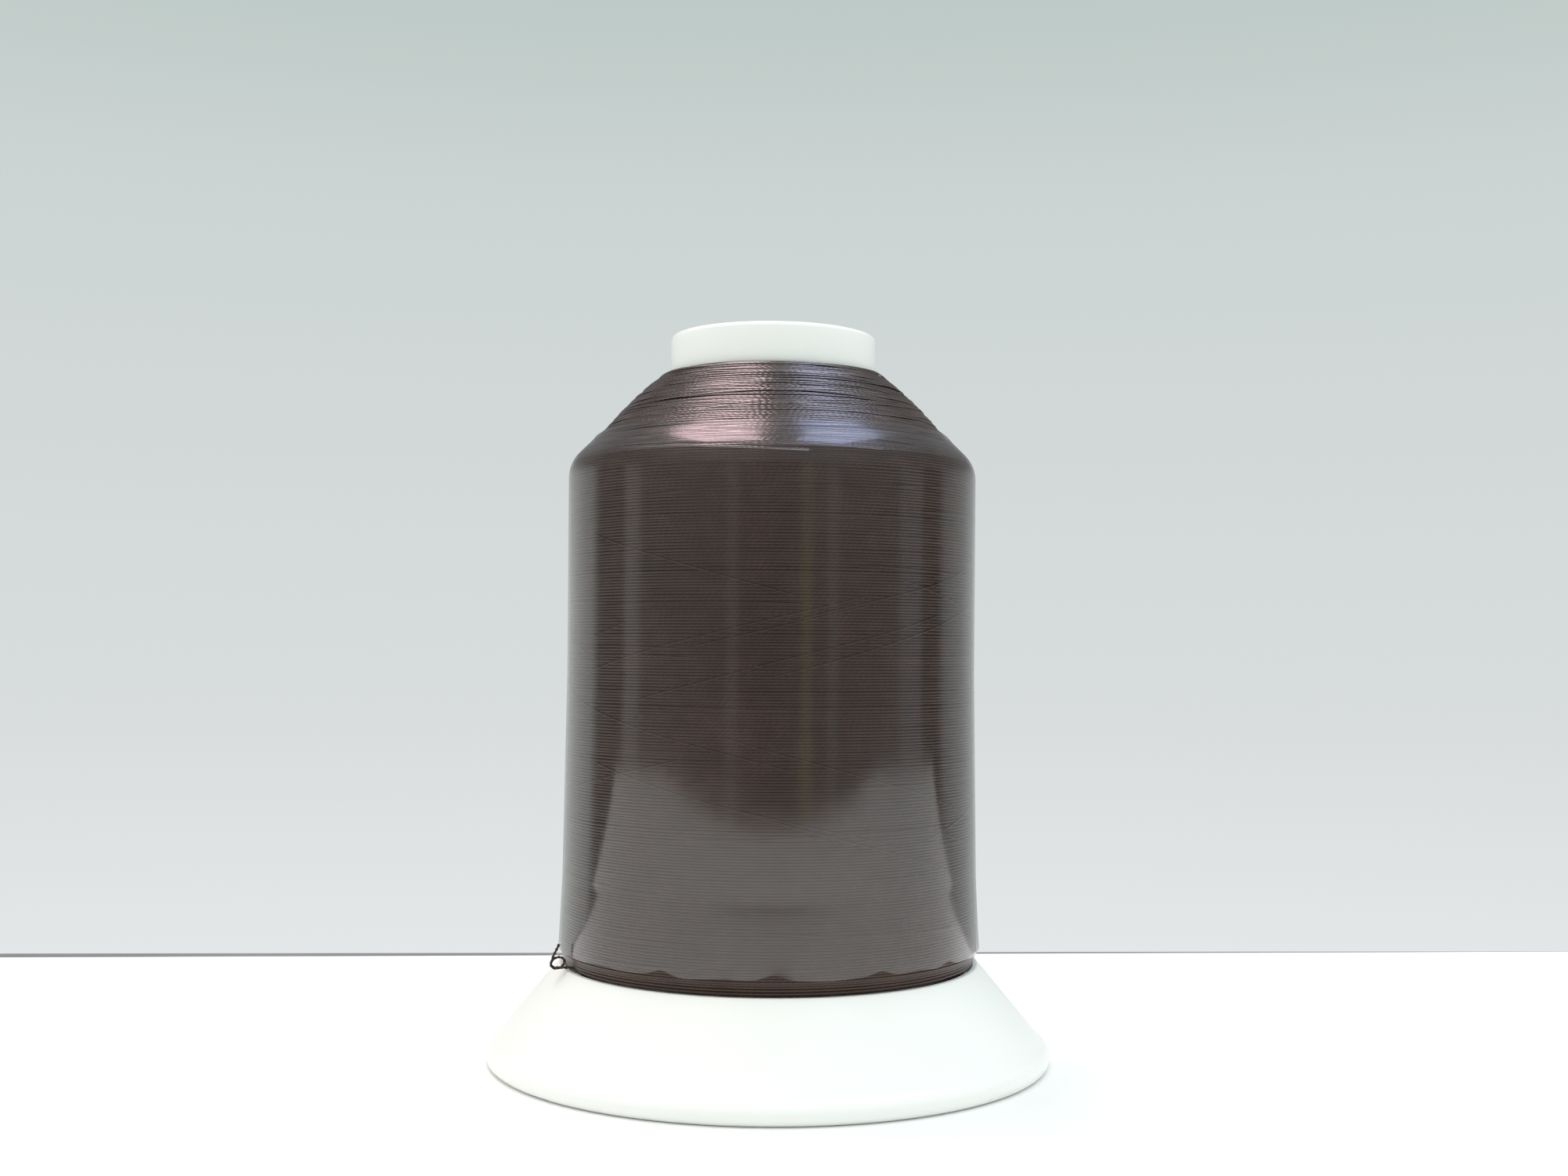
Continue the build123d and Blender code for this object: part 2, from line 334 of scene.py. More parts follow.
# Each unevenness has a size, in mm or radians, and a length in turns over which it changes.
# WALL_WANDER and CALM are the shares of it left on the wall.
WANDER = 0.05
WANDER_TURNS = 0.37
WALL_WANDER = 0.35
DRIFT = 0.06
DRIFT_TURNS = 3.1
DIP = 0.06
DIP_TURNS = 0.23
HOLLOW = 0.16
HOLLOW_FROM = 0.55
HOLLOW_TURNS = 1.3
CALM = 0.12
TERRACE = 1.1
TERRACE_DEPTH = 0.08
TERRACE_SHIFT = 0.35
TERRACE_TURNS = 0.8
RUFFLE = 0.03
RUFFLE_TURNS = 0.031
TILT = 0.2
TILT_TURNS = 0.047
SLOW_TILT = 0.12
SLOW_TILT_TURNS = 0.29
EXIT_AZIMUTH = -156
EXIT_LIFT = 0.5
EXIT_SPREAD = 0.12

turns = int((pack_length - END_MARGIN * MM) / (WRAP_PITCH * MM))
steps = turns * SEGMENTS_PER_TURN + 1
turned = np.arange(steps) / SEGMENTS_PER_TURN


def turn_noise(spacing):
    """Random values along the wound strand, joined smoothly, spacing turns apart."""
    return smooth_noise(turned, spacing, rng, int(turns / spacing) + 3)


def inside_profile(run):
    """The run, kept a little inside the ends of the profile."""
    return np.clip(run, PROFILE_MARGIN * MM, pack_length - PROFILE_MARGIN * MM)


spread = turn_noise(WANDER_TURNS) * WANDER
shoulder_run = np.interp(SHOULDER_Z * MM, pack_profile[:, 0], pack_run) / MM
spread *= np.where(turned * WRAP_PITCH < shoulder_run, WALL_WANDER, 1)
slow = turn_noise(DRIFT_TURNS) * DRIFT
depth = np.clip(turn_noise(DIP_TURNS), 0, 1) ** 2 * DIP
depth = depth + np.clip(turn_noise(HOLLOW_TURNS) - HOLLOW_FROM, 0, 1) * HOLLOW
wrap_run = (FIRST_RUN + turned * WRAP_PITCH + spread + slow) * MM
wrap_z, wrap_r, normal_z, normal_r = pack_at(inside_profile(wrap_run))
on_shoulder = np.clip((wrap_z - SHOULDER_Z * MM) / (SHOULDER_EASE * MM), 0, 1)
terrace_turn = wrap_run / MM / TERRACE + turn_noise(TERRACE_TURNS) * TERRACE_SHIFT
terrace = 0.5 + 0.5 * np.sin(2 * math.pi * terrace_turn)
depth = depth * (CALM + (1 - CALM) * on_shoulder) + TERRACE_DEPTH * terrace * on_shoulder
half_height = PRESSED_HALF_HEIGHT + (STRAND_HALF_HEIGHT - PRESSED_HALF_HEIGHT) * on_shoulder
half_width = PRESSED_HALF_WIDTH + (STRAND_HALF_WIDTH - PRESSED_HALF_WIDTH) * on_shoulder
inset = (half_height + SKIN + depth) * MM
strand_z = wrap_z - normal_z * inset
strand_r = wrap_r - normal_r * inset
azimuth = turned * 2 * math.pi + START_AZIMUTH
# The lowest wraps ride up where the thread end comes out under them
from_exit = (azimuth - math.radians(EXIT_AZIMUTH) + math.pi) % (2 * math.pi) - math.pi
exit_floor = pack_profile[0, 0] + EXIT_LIFT * MM * np.exp(-((from_exit / EXIT_SPREAD) ** 2))
strand_z = np.maximum(strand_z, exit_floor)
# Short stretches of the shoulder's wraps stand higher, lower or tilted, which breaks up the gloss
bumps = turn_noise(RUFFLE_TURNS)
strand_z += normal_z * bumps * RUFFLE * MM * on_shoulder
strand_r += normal_r * bumps * RUFFLE * MM * on_shoulder
tilt = turn_noise(TILT_TURNS) * TILT
tilt = (tilt + turn_noise(SLOW_TILT_TURNS) * SLOW_TILT) * on_shoulder
normal_z, normal_r = (
    normal_z * np.cos(tilt) - normal_r * np.sin(tilt),
    normal_r * np.cos(tilt) + normal_z * np.sin(tilt),
)
strand_centres = np.stack([strand_r * np.cos(azimuth), strand_r * np.sin(azimuth), strand_z], 1)
strand_outward = np.stack([normal_r * np.cos(azimuth), normal_r * np.sin(azimuth), normal_z], 1)


def length_along(centres):
    """The distance in mm along a line of centres at each of them."""
    return np.concatenate([[0], np.cumsum(np.linalg.norm(np.diff(centres, axis=0), axis=1))]) / MM


strand_length = length_along(strand_centres)
strand_around = np.arange(STRAND_SIDES + 1) / STRAND_SIDES
shoulder_step = int(shoulder_run / WRAP_PITCH * SEGMENTS_PER_TURN)
windings = []
cuts = (0, shoulder_step // 2, shoulder_step, steps - 1)
for number, (start, end) in enumerate(zip(cuts, cuts[1:])):
    part = slice(start, end + 1)
    name = f"winding_{number + 1}"
    rings = tube_points(
        strand_centres[part],
        strand_outward[part],
        half_width[part] * MM,
        STRAND_SIDES,
        half_height[part] * MM,
    )
    strand_uv = (strand_around, strand_length[part])
    windings.append(add_object(name, mesh_from_grid(name, rings, strand_uv, close_columns=True, caps=True)))

# Strands of the last layers, which lie across the wraps and dive under at their ends
CROSSING_STEP = math.radians(2.2)
CROSSING_HALF_WIDTH = 0.14
CROSSING_MARGIN = 0.1
LAID_OVER = 0.012
DIVE = 0.17
DIVE_STEPS = 9
BEND = 0.1
BEND_STEPS = 14
HEAVE = 0.02
HEAVE_STEPS = 9
ANY_AZIMUTH = 6.28
WALL_START = 2.5
WALL_TOP_Z = 60.3
wall_end = np.interp(WALL_TOP_Z * MM, pack_profile[:, 0], pack_run) / MM
shoulder_end = pack_length / MM - 1.0
wall_crossings = []
shoulder_crossings = []


def crossing(run_start, slope, azimuth_start, sweep):
    """One strand laid over the wraps: slope is its climb for each unit along the circumference."""
    count = int(abs(sweep) / CROSSING_STEP) + 2
    part = np.linspace(0, 1, count)
    angle = azimuth_start + part * sweep
    reference = pack_at(np.array([run_start * MM]))[1][0]
    bend = smooth_noise(part * count, BEND_STEPS, rng, count // BEND_STEPS + 3) * BEND
    run = run_start * MM + part * abs(sweep) * reference * slope + bend * MM
    z, r, nz, nr = pack_at(np.clip(run, CROSSING_MARGIN * MM, pack_length - CROSSING_MARGIN * MM))
    ends = np.clip(np.minimum(part, 1 - part) * count / DIVE_STEPS, 0, 1)
    ends = ends * ends * (3 - 2 * ends)
    heave = HEAVE * smooth_noise(part * count, HEAVE_STEPS, rng, count // HEAVE_STEPS + 3)
    sink = (STRAND_HALF_HEIGHT - LAID_OVER + (1 - ends) * DIVE + heave) * MM
    centres = np.stack([(r - nr * sink) * np.cos(angle), (r - nr * sink) * np.sin(angle), z - nz * sink], 1)
    outward = np.stack([nr * np.cos(angle), nr * np.sin(angle), nz], 1)
    rings = tube_points(centres, outward, CROSSING_HALF_WIDTH * MM, STRAND_SIDES, STRAND_HALF_HEIGHT * MM)
    uv = (strand_around, length_along(centres))
    group = shoulder_crossings if run_start > wall_end else wall_crossings
    group.append(mesh_from_grid("crossing", rings, uv, close_columns=True, caps=True))


def lay_crossings(count, slopes, sweeps, radius, lowest, highest):
    """Crossing strands in turn each way round. slopes are in degrees, sweeps in radians, and lowest
    and highest bound the run, less what a strand climbs at that radius."""
    for number in range(count):
        slope = math.tan(math.radians(rng.uniform(*slopes)))
        sweep = rng.uniform(*sweeps)
        start = rng.uniform(lowest, highest - sweep * radius * slope)
        crossing(start, slope, rng.uniform(0, ANY_AZIMUTH), sweep if number % 2 else -sweep)


lay_crossings(26, (12.5, 15.5), (1.2, 3.6), 21.1, WALL_START, wall_end)
lay_crossings(46, (0.8, 4.0), (0.9, 3.2), 18, wall_end + 0.5, shoulder_end - 0.2)
lay_crossings(30, (0.4, 2.5), (0.8, 2.4), 21, 0.8, wall_end)
windings.append(joined("winding_crossings", wall_crossings))
windings.append(joined("shoulder_crossings", shoulder_crossings))

# The thread beneath, seen only between the wraps
CORE_INSET = 0.24
CORE_COLUMNS = 192
CORE_ROWS = 260
BARREL_RADIUS = 9.42
FLANGE_RADIUS = 20.8
core_run = np.linspace(0, pack_length, CORE_ROWS)
core_z, core_r, core_nz, core_nr = pack_at(inside_profile(core_run))
core_z = np.clip(core_z - core_nz * CORE_INSET * MM, pack_profile[0, 0], pack_profile[-1, 0])
core_r = core_r - core_nr * CORE_INSET * MM
barrel_r = BARREL_RADIUS * MM
flange_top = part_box("thread_package")[0].z
flange_r = FLANGE_RADIUS * MM
core_z = np.concatenate([[flange_top, flange_top, pack_profile[0, 0]], core_z, [pack_profile[-1, 0]]])
core_r = np.concatenate([[barrel_r, flange_r, flange_r], core_r, [barrel_r]])
angle = np.arange(CORE_COLUMNS) / CORE_COLUMNS * 2 * math.pi
core_grid = np.stack(
    [
        core_r[:, None] * np.cos(angle)[None],
        core_r[:, None] * np.sin(angle)[None],
        np.repeat(core_z[:, None], CORE_COLUMNS, 1),
    ],
    2,
)
thread_core = add_object(
    "winding_core", mesh_from_grid("winding_core", core_grid, close_columns=True, close_rows=True)
)

# ---- shrink film ---------------------------------------------------------------------------
FILM_STANDOFF = 0.13
FILM_THICKNESS = 0.05
FILM_COLUMNS = 400
FILM_ROWS = 110
BOTTOM_SHIFT = -0.35
TOP_SHIFT = -0.45
# Bites out of the lower edge, at three dark spots of the photograph and where it rises on the right
FILM_NOTCHES = (-117, -88.4, -60.3, -36.5)
NOTCH_HEIGHT = 0.5
NOTCH_REACH = math.radians(3.2)
FOOT_LENGTH = 1.6
CREST_LENGTH = 0.9
FOOT_FLARE = 0.03
CREST_FLARE = 0.02
PUCKER = 0.05
WAVE_GAIN = 1.6
film_low, film_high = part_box("film_sleeve")
film_angle = np.arange(FILM_COLUMNS) / FILM_COLUMNS * 2 * math.pi
film_rng = np.random.default_rng(7)


def ring_noise(waves, low, high):
    """A smooth random wave round a circle, about from -1 to 1, at the film's columns."""
    total = np.zeros(FILM_COLUMNS)
    for wave in range(waves):
        count = film_rng.integers(low, high + 1)
        total += film_rng.uniform(0.4, 1) * np.sin(count * film_angle + film_rng.uniform(0, ANY_AZIMUTH))
    return total / waves * WAVE_GAIN


notches = np.zeros(FILM_COLUMNS)
for notch in FILM_NOTCHES:
    from_notch = (film_angle - math.radians(notch) + math.pi) % (2 * math.pi) - math.pi
    notches += NOTCH_HEIGHT * np.exp(-((from_notch / NOTCH_REACH) ** 2))
bottom_wave = 0.1 * ring_noise(5, 3, 9) + 0.08 * ring_noise(4, 12, 26)
bottom_edge = film_low.z + (BOTTOM_SHIFT + bottom_wave + notches) * MM
top_wave = 0.22 * ring_noise(5, 2, 7) + 0.1 * ring_noise(4, 9, 20)
top_edge = film_high.z + (TOP_SHIFT - top_wave) * MM
start_run = np.interp(bottom_edge, pack_profile[:, 0], pack_run)
end_run = np.interp(top_edge, pack_profile[:, 0], pack_run)
share = 0.5 - 0.5 * np.cos(np.linspace(0, math.pi, FILM_ROWS))
film_run = start_run[None, :] + (end_run - start_run)[None, :] * share[:, None]
fz, fr, fnz, fnr = pack_at(film_run)
foot = np.exp(-((film_run - start_run[None, :]) / (FOOT_LENGTH * MM)))
crest = np.exp(-((end_run[None, :] - film_run) / (CREST_LENGTH * MM)))
pucker = (ring_noise(6, 14, 34)[None, :] * foot + ring_noise(5, 9, 22)[None, :] * crest) * PUCKER
stand = (FILM_STANDOFF + FOOT_FLARE * foot + CREST_FLARE * crest + pucker) * MM


def film_grid(off):
    """The film's rows and columns at a distance off the pack."""
    z = fz + fnz * off
    r = fr + fnr * off
    return np.stack([r * np.cos(film_angle), r * np.sin(film_angle), z], 2)


outside = film_grid(stand + FILM_THICKNESS * MM)
inside = film_grid(stand)
film_mesh = mesh_from_grid(
    "film", np.concatenate([outside, inside[::-1]], 0), close_columns=True, close_rows=True
)
film = add_object("shrink_film", film_mesh)


# ---- helpers for materials -----------------------------------------------------------------
def add_node(tree, kind, inputs=None, **settings):
    """A node with its settings. An input is a value or another node's output."""
    node = tree.nodes.new(kind)
    for name, value in settings.items():
        setattr(node, name, value)
    for name, value in (inputs or {}).items():
        if isinstance(value, bpy.types.NodeSocket):
            tree.links.new(value, node.inputs[name])
        else:
            node.inputs[name].default_value = value
    return node


def new_material(name):
    material = bpy.data.materials.new(name)
    material.use_nodes = True
    material.node_tree.nodes.clear()
    return material, material.node_tree


def finish_material(tree, shader):
    output = add_node(tree, "ShaderNodeOutputMaterial")
    tree.links.new(shader, output.inputs["Surface"])


def ramp(tree, factor, stops):
    """A colour ramp over (position, colour) stops."""
    node = add_node(tree, "ShaderNodeValToRGB", {"Fac": factor})
    elements = node.color_ramp.elements
    while len(elements) < len(stops):
        elements.new(0.5)
    for element, (position, colour) in zip(elements, stops):
        element.position = position
        element.color = (*colour, 1)
    return node.outputs["Color"]


def grey_range(tree, factor, low, high):
    """The factor from 0 to 1 mapped to a range."""
    node = add_node(tree, "ShaderNodeMapRange", {"Value": factor, "To Min": low, "To Max": high})
    return node.outputs["Result"]


def noise(tree, coordinates, scale, detail=3, roughness=0.55):
    inputs = {"Vector": coordinates, "Scale": scale, "Detail": detail, "Roughness": roughness}
    return add_node(tree, "ShaderNodeTexNoise", inputs).outputs["Fac"]


def math_node(tree, operation, first, second=0.0):
    node = add_node(tree, "ShaderNodeMath", operation=operation)
    for socket, value in zip(node.inputs, (first, second)):
        if isinstance(value, bpy.types.NodeSocket):
            tree.links.new(value, socket)
        else:
            socket.default_value = value
    return node.outputs[0]


# ---- materials -----------------------------------------------------------------------------
def thread_material(name, ior, level, rough_range, relief):
    """Lustrous dark embroidery thread: two twisted plies, fine fibres and uneven dye, with painted shade in
    the grooves between the plies and a painted highlight on their crests.
    """
    material, tree = new_material(name)
    place = add_node(tree, "ShaderNodeTexCoord")
    uv = add_node(tree, "ShaderNodeUVMap", uv_map="strand")
    split = add_node(tree, "ShaderNodeSeparateXYZ", {"Vector": uv.outputs["UV"]})
    around = math_node(tree, "MULTIPLY", split.outputs["X"], 4 * math.pi)
    along = math_node(tree, "MULTIPLY", split.outputs["Y"], 2 * math.pi / 0.62)
    # The twist wanders along the strand, so that it doesn't line up from wrap to wrap
    strand_noise = add_node(
        tree,
        "ShaderNodeTexNoise",
        {"W": math_node(tree, "MULTIPLY", split.outputs["Y"], 0.06), "Scale": 1.0, "Detail": 2.0},
        noise_dimensions="1D",
    )
    drift = math_node(tree, "MULTIPLY", strand_noise.outputs["Fac"], 40.0)
    phase = math_node(tree, "ADD", math_node(tree, "ADD", around, along), drift)
    twist = math_node(tree, "SINE", phase)
    ply = add_node(tree, "ShaderNodeMapRange", {"Value": twist, "From Min": -1.0}).outputs["Result"]
    fine = noise(tree, place.outputs["Object"], 9000, 2)
    broad = noise(tree, place.outputs["Object"], 420, 3)
    patch = noise(tree, place.outputs["Object"], 60, 2)
    tone = math_node(
        tree, "ADD", math_node(tree, "MULTIPLY", broad, 0.6), math_node(tree, "MULTIPLY", patch, 0.4)
    )
    colour = ramp(
        tree,
        tone,
        [(0.3, (0.031, 0.0155, 0.011)), (0.5, (0.044, 0.022, 0.016)), (0.72, (0.062, 0.032, 0.023))],
    )
    # Painted shade and highlight: the colour is darker in the grooves between the twisted plies and lighter
    # on their crests.
    ply_groove_shade = ramp(
        tree, ply, [(0.0, (0.78, 0.78, 0.78)), (0.45, (1.0, 1.0, 1.0)), (1.0, (1.15, 1.12, 1.1))]
    )
    mixed = add_node(tree, "ShaderNodeMix", data_type="RGBA", blend_type="MULTIPLY")
    mixed.inputs["Factor"].default_value = 1.0
    tree.links.new(colour, mixed.inputs["A"])
    tree.links.new(ply_groove_shade, mixed.inputs["B"])
    height = math_node(tree, "ADD", ply, math_node(tree, "MULTIPLY", fine, 0.3))
    bump = add_node(tree, "ShaderNodeBump", {"Height": height, "Strength": relief, "Distance": 0.00004})
    shader = add_node(
        tree,
        "ShaderNodeBsdfPrincipled",
        {
            "Base Color": mixed.outputs["Result"],
            "Roughness": grey_range(tree, broad, *rough_range),
            "IOR": ior,
            "Specular IOR Level": level,
            "Normal": bump.outputs["Normal"],
        },
    )
    finish_material(tree, shader.outputs["BSDF"])
    return material


def shaded_core_material():
    """The lower layers of thread, seen between the wraps, coloured darker than the wraps as painted shade."""
    material, tree = new_material("thread_under_painted_shade")
    place = add_node(tree, "ShaderNodeTexCoord")
    split = add_node(tree, "ShaderNodeSeparateXYZ", {"Vector": place.outputs["Object"]})
    waves = math_node(tree, "MULTIPLY", split.outputs["Z"], 2 * math.pi / (0.27 * MM))
    lines = math_node(tree, "SINE", waves)
    broad = noise(tree, place.outputs["Object"], 700, 3)
    # Painted shade: these under layers are coloured far darker than the same thread on top.
    colour = ramp(tree, broad, [(0.3, (0.012, 0.008, 0.007)), (0.7, (0.026, 0.017, 0.015))])
    bump = add_node(tree, "ShaderNodeBump", {"Height": lines, "Strength": 0.7, "Distance": 0.0001})
    shader = add_node(
        tree,
        "ShaderNodeBsdfPrincipled",
        {
            "Base Color": colour,
            "Roughness": grey_range(tree, broad, 0.6, 0.8),
            "Normal": bump.outputs["Normal"],
        },
    )
    finish_material(tree, shader.outputs["BSDF"])
    return material


def plastic_material():
    """Satin moulded polypropylene, a little milky, with faint flow marks and handling scuffs."""
    material, tree = new_material("white_moulding")
    place = add_node(tree, "ShaderNodeTexCoord")
    cloud = noise(tree, place.outputs["Object"], 55, 3)
    grain = noise(tree, place.outputs["Object"], 2600, 3)
    stretched = add_node(tree, "ShaderNodeMapping", {"Vector": place.outputs["Object"], "Scale": (1, 1, 6)})
    flow = noise(tree, stretched.outputs["Vector"], 110, 4, 0.6)
    colour = ramp(tree, cloud, [(0.3, (0.93, 0.94, 0.92)), (0.7, (0.95, 0.955, 0.935))])
    scuff = ramp(tree, flow, [(0.0, (0.0, 0.0, 0.0)), (0.62, (0.0, 0.0, 0.0)), (0.8, (1.0, 1.0, 1.0))])
    rough = math_node(
        tree, "ADD", grey_range(tree, grain, 0.28, 0.34), math_node(tree, "MULTIPLY", scuff, 0.16)
    )
    height = math_node(tree, "ADD", math_node(tree, "MULTIPLY", grain, 0.1), flow)
    bump = add_node(tree, "ShaderNodeBump", {"Height": height, "Strength": 0.06, "Distance": 0.00003})
    shader = add_node(
        tree,
        "ShaderNodeBsdfPrincipled",
        {
            "Base Color": colour,
            "Roughness": rough,
            "IOR": 1.49,
            "Subsurface Weight": 0.15,
            "Subsurface Radius": (1.0, 0.95, 0.85),
            "Subsurface Scale": 0.0012,
            "Normal": bump.outputs["Normal"],
        },
    )
    finish_material(tree, shader.outputs["BSDF"])
    return material


def paper_material():
    """Blank self-adhesive paper with fibres."""
    material, tree = new_material("label_paper")
    place = add_node(tree, "ShaderNodeTexCoord")
    fibre = noise(tree, place.outputs["Object"], 1500, 6, 0.7)
    colour = ramp(tree, fibre, [(0.3, (0.76, 0.76, 0.72)), (0.7, (0.86, 0.86, 0.83))])
    bump = add_node(tree, "ShaderNodeBump", {"Height": fibre, "Strength": 0.3, "Distance": 0.00003})
    shader = add_node(
        tree,
        "ShaderNodeBsdfPrincipled",
        {
            "Base Color": colour,
            "Roughness": grey_range(tree, fibre, 0.7, 0.9),
            "Normal": bump.outputs["Normal"],
        },
    )
    finish_material(tree, shader.outputs["BSDF"])
    return material


def film_material():
    """Clear shrink film: it lets the thread show and mirrors the room, more so at a glancing angle."""
    material, tree = new_material("clear_film")
    place = add_node(tree, "ShaderNodeTexCoord")
    stretched = add_node(
        tree, "ShaderNodeMapping", {"Vector": place.outputs["Object"], "Scale": (1, 1, 0.35)}
    )
    ripple = noise(tree, stretched.outputs["Vector"], 260, 3, 0.5)
    haze = noise(tree, place.outputs["Object"], 140, 4, 0.6)
    bump = add_node(tree, "ShaderNodeBump", {"Height": ripple, "Strength": 0.16, "Distance": 0.00006})
    facing = add_node(tree, "ShaderNodeLayerWeight", {"Blend": 0.5, "Normal": bump.outputs["Normal"]})
    # Schlick's curve for one face of the film
    glance = math_node(tree, "POWER", facing.outputs["Facing"], 5.0)
    mirror = math_node(tree, "ADD", math_node(tree, "MULTIPLY", glance, 0.957), 0.043)
    clear = add_node(tree, "ShaderNodeBsdfTransparent", {"Color": (0.965, 0.97, 0.97, 1)})
    # The film is crinkled and less clear where it draws in over the shoulder
    height_up = add_node(tree, "ShaderNodeSeparateXYZ", {"Vector": place.outputs["Object"]}).outputs["Z"]
    drawn_in = add_node(
        tree, "ShaderNodeMapRange", {"Value": height_up, "From Min": 0.0615, "From Max": 0.0635}
    ).outputs["Result"]
    rough = math_node(
        tree, "ADD", grey_range(tree, haze, 0.04, 0.12), math_node(tree, "MULTIPLY", drawn_in, 0.14)
    )
    gloss = add_node(
        tree,
        "ShaderNodeBsdfGlossy",
        {
            "Color": (1, 1, 1, 1),
            "Roughness": rough,
            "Normal": bump.outputs["Normal"],
        },
    )
    mix = add_node(tree, "ShaderNodeMixShader", {"Fac": mirror})
    tree.links.new(clear.outputs["BSDF"], mix.inputs[1])
    tree.links.new(gloss.outputs["BSDF"], mix.inputs[2])
    finish_material(tree, mix.outputs["Shader"])
    return material


def give(piece, material):
    piece.data.materials.clear()
    piece.data.materials.append(material)


def give_cad(node, material):
    for material_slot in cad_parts[node].material_slots:
        material_slot.material = material


# Each range of roughness stays on one side of about 0.27: across it, the denoiser leaves dark spots
thread = thread_material("thread", 1.5, 0.5, (0.28, 0.35), 0.1)
lustrous_thread = thread_material("thread_on_shoulder", 2.3, 1.0, (0.14, 0.26), 0.25)
for winding in windings:
    on_top = winding.name in ("winding_3", "shoulder_crossings")
    give(winding, lustrous_thread if on_top else thread)
give(tail, thread)
give(thread_core, shaded_core_material())
give(film, film_material())
white = plastic_material()
give_cad("snap_base", white)
give_cad("core_barrel", white)
give_cad("base_label", paper_material())

# ---- riding on the bodies --------------------------------------------------------------------
for winding in windings:
    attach(winding, "barrel")
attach(thread_core, "barrel")
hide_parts("thread_package")
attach(film, "barrel")
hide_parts("film_sleeve")
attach(tail, "barrel")
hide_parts("thread_tail")

# ---- table, room and lights ------------------------------------------------------------------
TABLE_BACK = 61.2
TABLE_SKEW = 0.068
TABLE_FRONT = -397
TABLE_HALF_WIDTH = 700
TABLE_THICKNESS = 25
EDGE_DROP = 0.02
# A dark strip along the back edge, painted shade standing in for the shadowed gap behind the table, narrows
# to nothing on the right
EDGE_WIDTH = 1.9
EDGE_TAPER = 0.013
EDGE_RIGHT = 140


def slab(name, low, high, skew_front=0, skew_back=0):
    """A block whose front and back edges may run askew, by a share of x."""
    (x0, y0, z0), (x1, y1, z1) = low, high
    sides = ((y0, skew_front), (y1, skew_back))
    corners = [(x, y + skew * x, z) for z in (z0, z1) for y, skew in sides for x in (x0, x1)]
    faces = [(0, 2, 3, 1), (4, 5, 7, 6), (0, 1, 5, 4), (2, 6, 7, 3), (0, 4, 6, 2), (1, 3, 7, 5)]
    mesh = bpy.data.meshes.new(name)
    mesh.from_pydata([Vector(corner) * MM for corner in corners], [], faces)
    made = add_object(name, mesh)
    return made


def matt(name, low, high, scale):
    """A plain matt surface with a faint mottle."""
    material, tree = new_material(name)
    place = add_node(tree, "ShaderNodeTexCoord")
    mottle = noise(tree, place.outputs["Object"], scale, 4)
    shader = add_node(
        tree,
        "ShaderNodeBsdfPrincipled",
        {
            "Base Color": ramp(tree, mottle, [(0.3, low), (0.7, high)]),
            "Roughness": 0.6,
            "Specular IOR Level": 0.2,
        },
    )
    finish_material(tree, shader.outputs["BSDF"])
    return material


table = slab(
    "table",
    (-TABLE_HALF_WIDTH, TABLE_FRONT, -TABLE_THICKNESS),
    (TABLE_HALF_WIDTH, TABLE_BACK, 0),
    skew_back=TABLE_SKEW,
)
give(table, matt("table_top", (0.86, 0.86, 0.855), (0.89, 0.89, 0.885), 30))
# Painted shade: a dark strip stands for the shadow in the gap behind the table's back edge.
gap_shade_strip = slab(
    "table_gap_shade",
    (-TABLE_HALF_WIDTH, TABLE_BACK, -TABLE_THICKNESS),
    (EDGE_RIGHT, TABLE_BACK + EDGE_WIDTH, -EDGE_DROP),
    TABLE_SKEW,
    TABLE_SKEW - EDGE_TAPER,
)
give(gap_shade_strip, matt("gap_shade_strip", (0.19, 0.2, 0.195), (0.23, 0.24, 0.235), 60))

world = bpy.data.worlds.new("studio")
bpy.context.scene.world = world
world.use_nodes = True
world.cycles.sampling_method = "NONE"
tree = world.node_tree
tree.nodes.clear()
direction = add_node(tree, "ShaderNodeTexCoord").outputs["Generated"]
split = add_node(tree, "ShaderNodeSeparateXYZ", {"Vector": direction})
x, y, z = (split.outputs[axis] for axis in "XYZ")


def step(value, low, high, from_value, to_value):
    """A smooth step from one value to another between low and high."""
    return add_node(
        tree,
        "ShaderNodeMapRange",
        {"Value": value, "From Min": low, "From Max": high, "To Min": from_value, "To Max": to_value},
        interpolation_type="SMOOTHSTEP",
    ).outputs["Result"]


